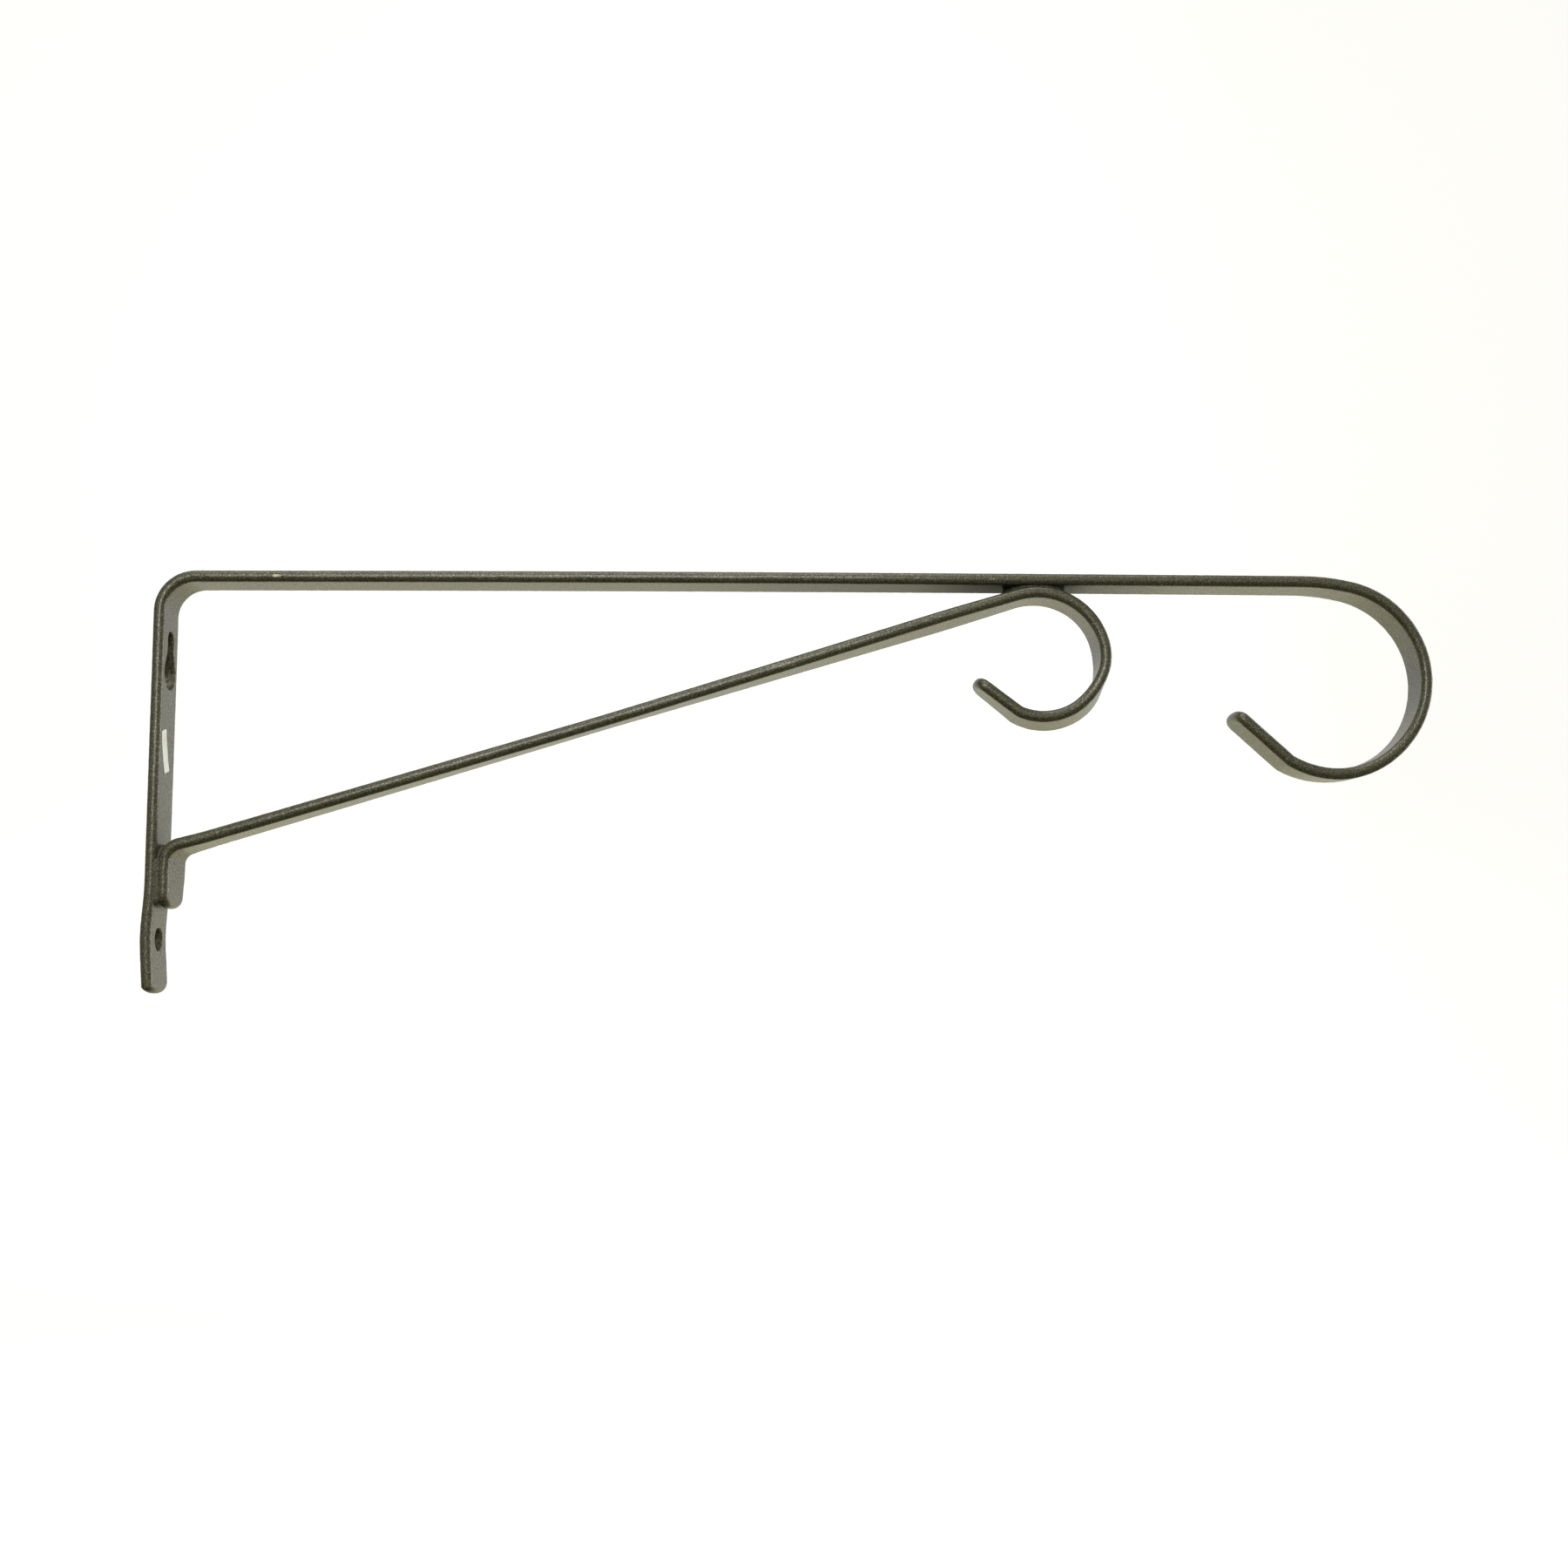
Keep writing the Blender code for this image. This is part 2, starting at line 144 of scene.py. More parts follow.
# Short strip, foot to small hook
shortStrip = {
    "foot": 0.0136,
    "footBelowLeg": 0.0083,
    "footLean": 1.3,
    "footTwist": 2.6,          # beyond the turn that the lean gives it
    "footBendRadius": 0.0052,
    "braceBow": 0.5,
    "crownReach": 0.2618,
    "crownRadius": 0.0216,
    "hook": (0.0198, 94.4),
    "closing": (0.0180, 110.9),
    "lipKink": (0.0028, 13.1),
    "lip": 0.0158,
    "braceTwist": -4.1,
    "braceTopTwist": 3.5,
    "middleTwist": -1.4,
    "hookTwist": 2.4,
    "riseTwist": -11.4,
    "fadeTwist": -6.1,
    "lipTwist": 3.1,
    "riseShare": 0.24,         # of the closing bend, where the twist is at its most
    "fadeShare": 0.7,
}

halfWidth = bar["width"] / 2
halfThickness = bar["thickness"] / 2


def layPath(pieces, start, heading):
    # Centre line in the XZ plane. Each piece is (name, length, turn): an arc, or a straight where
    # the turn is 0.
    x, z = start
    first = 0.0
    path = {"names": [], "first": [], "length": [], "x": [], "z": [], "heading": [], "rate": []}
    for name, length, turn in pieces:
        for key, value in zip(path, (name, first, length, x, z, heading, turn / length)):
            path[key].append(value)
        chord = length * np.sinc(turn / 2 / pi)
        x += chord * cos(heading + turn / 2)
        z += chord * sin(heading + turn / 2)
        heading += turn
        first += length
    path["total"] = first
    return path


def onPath(path, along):
    # An arc's chord is its length times sinc of half its turn, and points half way between its
    # first and last heading. Gives x, z and the heading.
    last = len(path["first"]) - 1
    k = np.clip(np.searchsorted(path["first"], along, side="right") - 1, 0, last)
    keys = ("first", "x", "z", "heading", "rate")
    first, x, z, heading, rate = (np.array(path[key])[k] for key in keys)
    gone = along - first
    half = rate * gone / 2
    chord = gone * np.sinc(half / pi)
    between = heading + half
    return x + chord * np.cos(between), z + chord * np.sin(between), heading + 2 * half


def startOf(path, name):
    return path["first"][path["names"].index(name)]


def endOf(path, name):
    return startOf(path, name) + path["length"][path["names"].index(name)]


def middleOf(path, name):
    return (startOf(path, name) + endOf(path, name)) / 2


def bent(path, twist, along, across, through):
    # Flat strip's own point, turned about the strip's length and carried onto the bent centre line
    x, z, heading = onPath(path, along)
    ease = bar["twistBlend"] * np.linspace(-1, 1, bar["twistSamples"])
    turn = np.mean([np.interp(along + step, *twist) for step in ease], axis=0)
    outward = through * np.cos(turn) - across * np.sin(turn)
    sideways = through * np.sin(turn) + across * np.cos(turn)
    return np.stack([x - np.sin(heading) * outward, sideways, z + np.cos(heading) * outward], -1)


def arc(name, bend):
    # a clockwise bend, seen with +X to the right and +Z up, from its radius and degrees
    radius, degrees = bend
    return (name, radius * radians(degrees), -radians(degrees))


def longPath():
    s = longStrip
    bow = radians(s["armBow"])
    pieces = [
        ("tab", s["tab"], 0.0),
        ("tabKink", s["tabKink"][0], radians(s["tabKink"][1])),
        ("joggle", s["joggle"], 0.0),
        ("legKink", s["legKink"][0], radians(s["legKink"][1])),
        ("leg", s["leg"], 0.0),
        ("corner", s["cornerRadius"] * (pi / 2 - bow / 2), bow / 2 - pi / 2),
        ("arm", s["arm"], -bow),
        arc("lead", s["lead"]), arc("hook", s["hook"]), arc("closing", s["closing"]),
        arc("lipKink", s["lipKink"]),
        ("lip", s["lip"], 0.0),
    ]
    heading = pi / 2 - radians(s["tabKink"][1] + s["legKink"][1])
    trial = layPath(pieces, (0.0, 0.0), heading)
    leg = trial["names"].index("leg")
    # moved so that the leg's back is the plane x = 0 and its top is at its height
    start = (halfThickness - trial["x"][leg], s["legTop"] - s["leg"] - trial["z"][leg])
    path = layPath(pieces, start, heading)
    turned = [
        (0.0, radians(s["tabTwist"])),
        (endOf(path, "tab"), radians(s["tabTwist"])),
        (endOf(path, "joggle"), radians(s["legTwist"])),
        (endOf(path, "leg"), radians(s["legTwist"])),
        (endOf(path, "corner"), 0.0),
        (endOf(path, "lead"), 0.0),
        (endOf(path, "hook"), radians(s["hookTwist"])),
        (middleOf(path, "closing"), radians(s["closingTwist"])),
        (startOf(path, "lip"), 0.0),
    ]
    return path, tuple(np.array(turned).T)


def shortPath(arm):
    s = shortStrip
    lean, bow = radians(s["footLean"]), radians(s["braceBow"])
    heading = pi / 2 - lean
    start = (bar["thickness"] + bar["seatGap"] + halfThickness,
             longStrip["legTop"] - longStrip["leg"] - s["footBelowLeg"])
    top = (start[0] + s["foot"] * cos(heading), start[1] + s["foot"] * sin(heading))
    crownZ = armUnderside(arm, s["crownReach"]) - bar["seatGap"] - halfThickness
    # the brace touches the foot's bend and the crown's, and bows a little on its way
    runX = s["crownReach"] - (top[0] + s["footBendRadius"] * sin(heading))
    runZ = crownZ - s["crownRadius"] - (top[1] - s["footBendRadius"] * cos(heading))
    difference = (s["crownRadius"] - s["footBendRadius"]) * cos(bow / 2)
    reach = sqrt(runX ** 2 + runZ ** 2 - difference ** 2)
    slope = atan2(runZ, runX) + atan2(difference, reach)
    chord = reach - (s["crownRadius"] + s["footBendRadius"]) * sin(bow / 2)
    low, high = slope - bow / 2, slope + bow / 2
    pieces = [
        ("foot", s["foot"], 0.0),
        ("footBend", s["footBendRadius"] * (heading - low), low - heading),
        ("brace", chord * (bow / 2) / sin(bow / 2), bow),
        ("crown", s["crownRadius"] * high, -high),
        arc("hook", s["hook"]), arc("closing", s["closing"]), arc("lipKink", s["lipKink"]),
        ("lip", s["lip"], 0.0),
    ]
    path = layPath(pieces, start, heading)
    closing = endOf(path, "closing") - startOf(path, "closing")
    footTurn = 2 * s["foot"] * sin(lean) / bar["width"] + radians(s["footTwist"])
    turned = [
        (0.0, radians(longStrip["legTwist"])),
        (endOf(path, "foot"), footTurn + radians(longStrip["legTwist"])),
        (startOf(path, "brace") + s["footBendRadius"], 0.0),
        (middleOf(path, "brace"), radians(s["braceTwist"])),
        (endOf(path, "brace") - s["crownRadius"], radians(s["braceTopTwist"])),
        (endOf(path, "crown"), 0.0),
        (middleOf(path, "hook"), radians(s["middleTwist"])),
        (endOf(path, "hook"), radians(s["hookTwist"])),
        (startOf(path, "closing") + s["riseShare"] * closing, radians(s["riseTwist"])),
        (startOf(path, "closing") + s["fadeShare"] * closing, radians(s["fadeTwist"])),
        (startOf(path, "lip"), 0.0),
        (path["total"], radians(s["lipTwist"])),
    ]
    return path, tuple(np.array(turned).T)


def legFace(y):
    # distance of the leg's inner face from the wall; the leg is turned a little about its length
    return bar["thickness"] + y * sin(radians(longStrip["legTwist"]))


def armUnderside(arm, reach):
    # height of the arm's lower face at a distance from the wall
    along = startOf(arm, "arm")
    return onPath(arm, along + reach - onPath(arm, along)[0])[1] - halfThickness


def roundedEnd(nearCrown, nearSquareness):
    # Half of |a/crown|^n + |c/halfWidth|^n = 1, with n the squareness, and its outward normals. The
    # half with positive c may have a crown and a squareness of its own.
    angle = np.linspace(-pi / 2, pi / 2, bar["endSteps"] + 1)
    crown = np.where(angle > 0, nearCrown, bar["endCrown"])
    n = np.where(angle > 0, nearSquareness, bar["endSquareness"])
    a = np.abs(np.cos(angle)) ** (2 / n)
    c = np.sign(np.sin(angle)) * np.abs(np.sin(angle)) ** (2 / n)
    slopeA, slopeC = a ** (n - 1) / crown, np.sign(c) * np.abs(c) ** (n - 1) / halfWidth
    size = np.hypot(slopeA, slopeC)
    return crown * (1 - a), halfWidth * c, slopeA / size, slopeC / size


def flatOutline(length, corner):
    # Plan of the flat strip and its outward normals: two straight sides between two rounded ends
    crown = bar["endCrown"]
    side = np.linspace(crown, length - crown, int((length - 2 * crown) / bar["gridStep"]))[1:-1]
    flat = np.zeros_like(side)
    lastA, lastC, lastNormalA, lastNormalC = roundedEnd(bar["endCrown"], bar["endSquareness"])
    firstA, firstC, firstNormalA, firstNormalC = roundedEnd(*corner)
    along = np.concatenate([side, length - lastA, side[::-1], firstA])
    across = np.concatenate([flat - halfWidth, lastC, flat + halfWidth, -firstC])
    normalA = np.concatenate([flat, lastNormalA, flat, -firstNormalA])
    normalC = np.concatenate([flat - 1, lastNormalC, flat + 1, -firstNormalC])
    return along, across, normalA, normalC


def edgeProfile():
    # From the middle of the back face out round the rolled edge to the middle of the front face:
    # share of the way out, inset from the outline, height through the strip, and tilt of the normal
    r, h = bar["edgeRound"], halfThickness
    face = np.linspace(0, 1, bar["faceSteps"], endpoint=False)
    quarter = np.linspace(-pi / 2, 0, bar["arcSteps"] + 1)
    edge = np.linspace(r - h, h - r, bar["edgeSteps"] + 1)[1:-1]
    one, zero = np.ones_like(quarter), np.zeros_like(edge)
    share = np.concatenate([face, one, zero + 1, one, face[::-1]])
    inset = np.concatenate([face * 0 + r, r - r * np.cos(quarter), zero,
                            (r - r * np.cos(quarter))[::-1], face * 0 + r])
    through = np.concatenate([face * 0 - h, r - h + r * np.sin(quarter), edge,
                              h - r - r * np.sin(quarter[::-1]), face * 0 + h])
    tilt = np.concatenate([face * 0 - pi / 2, quarter, zero, -quarter[::-1], face * 0 + pi / 2])
    return share, inset, through, tilt


def skinWaves(points):
    # Sum of plane waves in random directions, levelled off by tanh, all inside the true surface
    rng = np.random.default_rng(skin["seed"])
    total = np.zeros(len(points))
    for _ in range(skin["waves"]):
        direction = rng.normal(size=3)
        direction /= np.linalg.norm(direction)
        length = skin["shortest"] * (skin["longest"] / skin["shortest"]) ** rng.random()
        total += np.sin(points @ direction * 2 * pi / length + rng.random() * 2 * pi)
    return -skin["depth"] * (skin["inwards"] + np.tanh(total / sqrt(skin["waves"])))


def gridMesh(name, points, closed):
    # grid of points (rows, columns) into quads; a closed one joins its last column to its first,
    # and points that meet merge
    rows, columns = points.shape[:2]
    across = columns if closed else columns - 1
    i, j = np.meshgrid(np.arange(rows - 1), np.arange(across), indexing="ij")
    near, beside = i * columns + j, i * columns + (j + 1) % columns
    quads = np.stack([near, beside, beside + columns, near + columns], -1)
    mesh = bpy.data.meshes.new(name)
    mesh.from_pydata(points.reshape(-1, 3), [], quads.reshape(-1, 4))
    work = bmesh.new()
    work.from_mesh(mesh)
    bmesh.ops.remove_doubles(work, verts=work.verts, dist=bar["mergeWithin"])
    bmesh.ops.recalc_face_normals(work, faces=work.faces)
    work.to_mesh(mesh)
    work.free()
    mesh.shade_smooth()
    return mesh


def cappedRows(rows):
    # the first and last row are drawn together to a point, so that the grid closes
    ends = [np.repeat(row.mean(0)[None], len(row), 0) for row in (rows[0], rows[-1])]
    return np.concatenate([ends[0][None], rows, ends[1][None]])


def unit(vectors):
    return vectors / np.maximum(np.linalg.norm(vectors, axis=-1, keepdims=True), tiny)


def newPiece(name, mesh, material):
    mesh.materials.append(material)
    piece = bpy.data.objects.new(name, mesh)
    bpy.context.scene.collection.objects.link(piece)
    return piece


def stripPiece(name, path, twist, corner, material):
    # Surface over the outline (columns) and the edge profile (rows), rippled by the skin, then bent
    along, across, normalA, normalC = flatOutline(path["total"], corner)
    share, inset, through, tilt = (v[:, None] for v in edgeProfile())
    footA = np.clip(along, halfWidth, path["total"] - halfWidth)
    a = footA + share * (along - inset * normalA - footA)
    c = share * (across - inset * normalC)
    points = np.stack(np.broadcast_arrays(a, c, through), -1).reshape(-1, 3)
    facing = np.cos(tilt) * normalA, np.cos(tilt) * normalC, np.sin(tilt)
    normals = np.stack(np.broadcast_arrays(*facing), -1).reshape(-1, 3)
    points += normals * skinWaves(points)[:, None]
    placed = bent(path, twist, points[:, 0], points[:, 1], points[:, 2])
    return newPiece(name, gridMesh(name, placed.reshape(*a.shape, 3), closed=True), material)


# Punched holes. The keyhole's place is measured down from the top of the leg.
holes = {
    "keyholeBelowCorner": 0.0179,
    "headRadius": 0.00495,
    "slotRadius": 0.0027,
    "slotRise": 0.0097,
    "flankDegrees": 25,
    "tabHoleRadius": 0.0033,
    "tabHoleFromEnd": 0.0157,
    "rim": 0.0005,             # the coat rounds over the punched edge
    "rimDegrees": 75,
    "rimSteps": 5,
    "steps": 72,
}


def keyholeRing(grow):
    # head circle and slot above it, joined by flanks that touch the circle
    head, slot = holes["headRadius"] + grow, holes["slotRadius"] + grow
    flank = radians(holes["flankDegrees"])
    around = np.linspace(flank, -pi - flank, holes["steps"])
    top = np.linspace(pi, 0, holes["steps"] // 2)
    shoulder = head * sin(flank) + (head * cos(flank) - slot) * cos(flank) / sin(flank)
    y = np.concatenate([head * np.cos(around), [-slot], slot * np.cos(top), [slot]])
    roof = holes["slotRise"] + slot * np.sin(top)
    return y, np.concatenate([head * np.sin(around), [shoulder], roof, [shoulder]])


def roundRing(grow):
    radius = holes["tabHoleRadius"] + grow
    around = np.linspace(0, -2 * pi, holes["steps"], endpoint=False)
    return radius * np.cos(around), radius * np.sin(around)


def punch(piece, name, path, twist, along, ring):
    # Cutter square through the strip: a straight wall that flares round the coat's rim at each face
    x, z, heading = (float(v) for v in onPath(path, along))
    turn = float(np.interp(along, *twist))
    lift = np.linspace(0, radians(holes["rimDegrees"]), holes["rimSteps"] + 1)
    rim = holes["rim"]
    flare = [(halfThickness - rim * (1 - sin(v)), rim * (1 - cos(v))) for v in lift]
    outer = flare[-1]
    past = (outer[0] + rim * cos(lift[-1]), outer[1] + rim * sin(lift[-1]))
    half = flare + [past, (past[0] + halfThickness, past[1] + halfThickness)]
    levels = [(-depth, grow) for depth, grow in half[::-1]] + half
    rows = []
    for depth, grow in levels:
        across, up = ring(grow)
        outward = depth * cos(turn) - across * sin(turn)
        sideways = depth * sin(turn) + across * cos(turn)
        rows.append(np.stack([x + cos(heading) * up - sin(heading) * outward, sideways,
                              z + sin(heading) * up + cos(heading) * outward], -1))
    mesh = gridMesh(name, cappedRows(np.array(rows)), closed=True)
    cutter = newPiece(name, mesh, piece.data.materials[0])
    cut = piece.modifiers.new(name, "BOOLEAN")
    cut.operation = "DIFFERENCE"
    cut.solver = "EXACT"
    cut.object = cutter
    return cutter


def applied(piece):
    # the piece keeps the mesh that its modifiers give
    evaluated = piece.evaluated_get(bpy.context.evaluated_depsgraph_get())
    mesh = bpy.data.meshes.new_from_object(evaluated)
    piece.modifiers.clear()
    piece.data = mesh
    mesh.shade_smooth()
    mesh.set_sharp_from_angle(angle=radians(bar["sharpDegrees"]))


# Weld beads, run across the strips in the notches, with the small steps that a bead freezes in
bead = {
    "endInset": 0.0010,
    "taper": 0.9,              # 0.5 would end it in a round nose, more draws it out
    "wallSideLeg": 0.0019,     # opening of the notch that each bead fills, at mid width
    "hookSideLeg": 0.0017,
    "footLeg": 0.0026,
    "rootOpening": 0.00002,    # of the notch, where the bead begins
    "noseOpening": 0.00003,    # of the notch, at the bead's two ends
    "sink": 0.0002,            # the bead is fused this far into both strips
    "bulge": 0.22,             # share of the mouth's height
    "fullness": 0.8,           # under 1 the face is flatter in the middle than an arch
    "wander": [(0.10, 0.0052, 1.0), (0.06, 0.0021, 0.0)],   # share, wavelength and phase
    "ripplePitch": 0.0013,
    "rippleDepth": 0.00005,
    "rippleLag": 0.35,         # pitches that a ripple trails behind in mid face
    "rippleFade": 0.001,       # the ripples fade where the mouth is lower than this
    "notchReach": 0.028,       # stretch of strip in which the notch lies
    "notchSteps": 1400,
    "acrossSteps": 110,
    "faceSteps": 14,
}


def notchPlace(path, twist, start, direction, across, openingAt, wanted):
    # where the notch between strip and flat has opened to the wanted height, for each place across
    travel = start + direction * np.linspace(0, bead["notchReach"], bead["notchSteps"])
    opening = openingAt(bent(path, twist, travel[:, None], across, halfThickness))
    return travel[np.argmax(opening > wanted, axis=0)]


def weldBead(name, path, twist, start, direction, leg, openingAt, seatPoint, material):
    # Rows run across the strip. Each row is a closed section: out along the short strip from the
    # root to the mouth, round the bulged and rippled face, and back along the flat it leans on.
    reach = halfWidth - bead["endInset"]
    ease = np.linspace(-pi / 2, pi / 2, bead["acrossSteps"])
    across = reach * np.sin(ease)
    width = np.maximum(1 - (across / reach) ** 2, 0) ** bead["taper"]
    wander = 1
    for share, length, phase in bead["wander"]:
        wander = wander + share * np.sin(across * 2 * pi / length + phase)
    root, mouth = (notchPlace(path, twist, start, direction, across, openingAt, wanted)
                   for wanted in (bead["rootOpening"], leg * wander * width + bead["noseOpening"]))
    step = np.linspace(0, 1, bead["faceSteps"])[:, None]
    along = root + (mouth - root) * step
    under = bent(path, twist, along, across, halfThickness - bead["sink"])
    over = seatPoint(bent(path, twist, along, across, halfThickness), bead["sink"])
    low, high = under[-1], over[-1]
    height = np.linalg.norm(high - low, axis=-1)
    lag = np.sin(pi * step)
    cycles = across / bead["ripplePitch"] + bead["rippleLag"] * lag
    ripple = bead["rippleDepth"] * np.cos(2 * pi * cycles)
    ripple = ripple * lag * np.minimum(height / bead["rippleFade"], 1)
    bow = (bead["bulge"] * height * lag ** bead["fullness"] + ripple)[..., None]
    face = low + (high - low) * step[..., None] + unit(low - under[-2]) * bow
    ring = np.concatenate([under, face[1:-1], over[::-1]])
    return newPiece(name, gridMesh(name, np.swapaxes(ring, 0, 1), closed=True), material)


# Seam bead along the foot, in the groove that the rolled edges of leg and foot leave between them
seam = {
    "from": 0.0012,            # above the foot's lower end
    "to": 0.0145,
    "growShare": 0.10,         # of its length, over which it comes up to its full width
    "fadeShare": 0.12,
    "leastShare": 0.02,        # of its width, left at the ends
    "wander": (0.07, 0.0047),  # share and wavelength
    "rootDegrees": 8,
    "mouthDegrees": 64,
    "footShare": 0.55,         # how far it follows the foot's rounded end inwards
    "sink": 0.00006,
    "belly": 0.04,             # share of the groove's width that the bead stands out
    "bellyAhead": 0.2,         # parts of the belly that go straight on and sideways
    "bellySideways": 0.8,
    "ripplePitch": 0.0014,
    "rippleDepth": 0.00003,
    "rippleLag": 0.3,
    "rippleFade": 0.001,
    "alongSteps": 150,
    "edgeSteps": 7,
    "faceSteps": 12,
}


def seamBead(material):
    # Rows go up the foot. Each is a closed section: out along the leg's rolled edge, across the
    # rippled face and back in along the foot's edge, which draws in where the foot is rounded.
    r, n = bar["edgeRound"] - seam["sink"], bar["endSquareness"]
    onFoot = np.linspace(seam["from"], seam["to"], seam["alongSteps"])
    short = np.clip(1 - onFoot / bar["endCrown"], 0, 1)
    drawnIn = halfWidth * (1 - (1 - short ** n) ** (1 / n))
    height = onPath(bracePath, onFoot)[1] + longStrip["leg"] - longStrip["legTop"]
    onLegPath = startOf(armPath, "leg") + height
    # the bead grows from nothing at both ends, and wanders a little in between
    along = (onFoot - onFoot[0]) / (onFoot[-1] - onFoot[0])
    full = np.clip(np.minimum(along / seam["growShare"], (1 - along) / seam["fadeShare"]), 0, 1)
    share, length = seam["wander"]
    full = np.sqrt(1 - (1 - full) ** 2) * (1 + share * np.sin(onFoot * 2 * pi / length))
    root = radians(seam["rootDegrees"])
    mouth = root + (radians(seam["mouthDegrees"]) - root) * np.clip(full, seam["leastShare"], 1)
    angle = root + (mouth - root) * np.linspace(0, 1, seam["edgeSteps"])[:, None]
    across = bar["edgeRound"] - halfWidth - r * np.sin(angle)
    through = halfThickness - bar["edgeRound"] + r * np.cos(angle)
    leg = bent(armPath, armTwist, onLegPath, across, -through)
    foot = bent(bracePath, braceTwist, onFoot, across + drawnIn * seam["footShare"], through)
    step = np.linspace(0, 1, seam["faceSteps"])[:, None]
    low, high = leg[-1], foot[-1]
    width = np.linalg.norm(high - low, axis=-1)
    push = unit(low - leg[-2]) * seam["bellyAhead"] - np.array([0, seam["bellySideways"], 0])
    lag = np.sin(pi * step)
    cycles = onFoot / seam["ripplePitch"] + seam["rippleLag"] * lag
    ripple = seam["rippleDepth"] * np.cos(2 * pi * cycles)
    ripple = ripple * np.minimum(width / seam["rippleFade"], 1)
    bow = (lag * (seam["belly"] * width + ripple))[..., None]
    face = low + (high - low) * step[..., None] + push * bow
    face[..., 1] = np.maximum(face[..., 1], -halfWidth)
    ring = np.concatenate([leg, face[1:-1], foot[::-1]])
    mesh = gridMesh("footSeamBead", cappedRows(np.swapaxes(ring, 0, 1)), closed=True)
    return newPiece("footSeamBead", mesh, material)


# Small blank paper label, stuck a little askew on the leg's inner face
label = {
    "width": 0.0042,
    "length": 0.0127,
    "centreY": -0.0024,
    "centreZ": -0.0008,
    "tilt": 17.5,
    "paper": 0.00009,
    "sheetShare": 0.9,         # of the paper's height off the steel; the rest is glue
    "lift": 0.00014,           # corners that have let go
    "liftPower": 4,
    "cornerRadius": 0.0004,
    "creaseDepth": 0.00001,
    "creasesUp": 0.0031,
    "creasesAcross": 0.0043,
    "sharpDegrees": 40,
    "stepsAcross": 40,
    "stepsUp": 120,
}


def blankLabel(material):
    # Thin sheet over (across, up): a rounded rectangle whose corners curl off the steel by a power
    # of the way out, with shallow creases
    u, v = np.meshgrid(np.linspace(-1, 1, label["stepsAcross"]),
                       np.linspace(-1, 1, label["stepsUp"]), indexing="ij")
    halfW, halfL, r = label["width"] / 2, label["length"] / 2, label["cornerRadius"]
    y, z = u * halfW, v * halfL
    excess = np.stack([np.abs(y) - (halfW - r), np.abs(z) - (halfL - r)])
    inCorner = (excess > 0).all(0)
    outside = np.hypot(*np.maximum(excess, 0))
    shrink = np.where(inCorner & (outside > r), r / np.maximum(outside, tiny), 1.0)
    y = np.sign(y) * np.where(inCorner, halfW - r + excess[0] * shrink, np.abs(y))
    z = np.sign(z) * np.where(inCorner, halfL - r + excess[1] * shrink, np.abs(z))
    curl = label["lift"] * (np.abs(u) * np.abs(v)) ** label["liftPower"]
    creases = (label["creaseDepth"] * np.sin(z * 2 * pi / label["creasesUp"])
               * np.cos(y * 2 * pi / label["creasesAcross"]))
    turn = radians(label["tilt"])
    sideways = label["centreY"] + y * cos(turn) - z * sin(turn)
    up = label["centreZ"] + y * sin(turn) + z * cos(turn)
    top = np.stack([legFace(sideways) + label["paper"] + curl + creases, sideways, up], -1)
    bottom = top - np.array([label["paper"] * label["sheetShare"], 0, 0])
    points = np.concatenate([top.reshape(-1, 3), bottom.reshape(-1, 3)])
    index = np.arange(u.size).reshape(u.shape)
    corners = index[:-1, :-1], index[1:, :-1], index[1:, 1:], index[:-1, 1:]
    cells = np.stack(corners, -1).reshape(-1, 4)
    loop = np.concatenate([index[:-1, 0], index[-1, :-1], index[:0:-1, -1], index[0, :0:-1]])
    following = np.roll(loop, -1)
    wall = np.stack([following, loop, loop + u.size, following + u.size], -1)
    mesh = bpy.data.meshes.new("blankLabel")
    mesh.from_pydata(points, [], np.concatenate([cells, cells[:, ::-1] + u.size, wall]))
    mesh.shade_smooth()
    mesh.set_sharp_from_angle(angle=radians(label["sharpDegrees"]))
    return newPiece("blankLabel", mesh, material)


# Hammer-finish enamel: leafing aluminium flake floats into rounded cells while the silicone in the
# paint parts them, so the eye sees a fine light and dark mottle, dark seams and satin glints. The
# glints are painted highlights in the colour.
enamelLook = {
    "pigment": "#383827",
    "flake": "#74735a",
    "flakeRamp": (0.38, 0.66),   # of the grain's noise, from pigment to flake
    "seam": "#27271b",
    "seamStrength": 0.40,
    "seamWidth": 0.16,         # of a cell
    "glint": "#b4b5a6",
    "bareAndLit": "#b5b19c",
    "metallic": 0.45,
    "rough": (0.34, 0.50),
    "coat": 0.50,              # clear resin that rises to the surface as it bakes
    "coatRough": 0.20,
    "cellSize": 0.0011,
    "driftCells": 3,           # the cells lie unevenly over this many of them
    "grainSize": 0.00042,      # real flakes are finer; drawn as coarse as shows
    "blotchSize": 0.024,
    "blotchRamp": (0.3, 0.7),
    "blotchGain": (0.86, 1.12),
    "seamDepth": 0.00005,
    "grainDepth": 0.00002,
    "glintSpacing": 0.0026,    # painted glints: light specks in the colour, where lone flat flakes would catch the light
    "glintSize": 0.00016,
    "glintRim": (1.4, 0.7),    # in glint sizes, where a glint begins and where it is full
    "glintless": 0.66,         # share of the cells without one
}
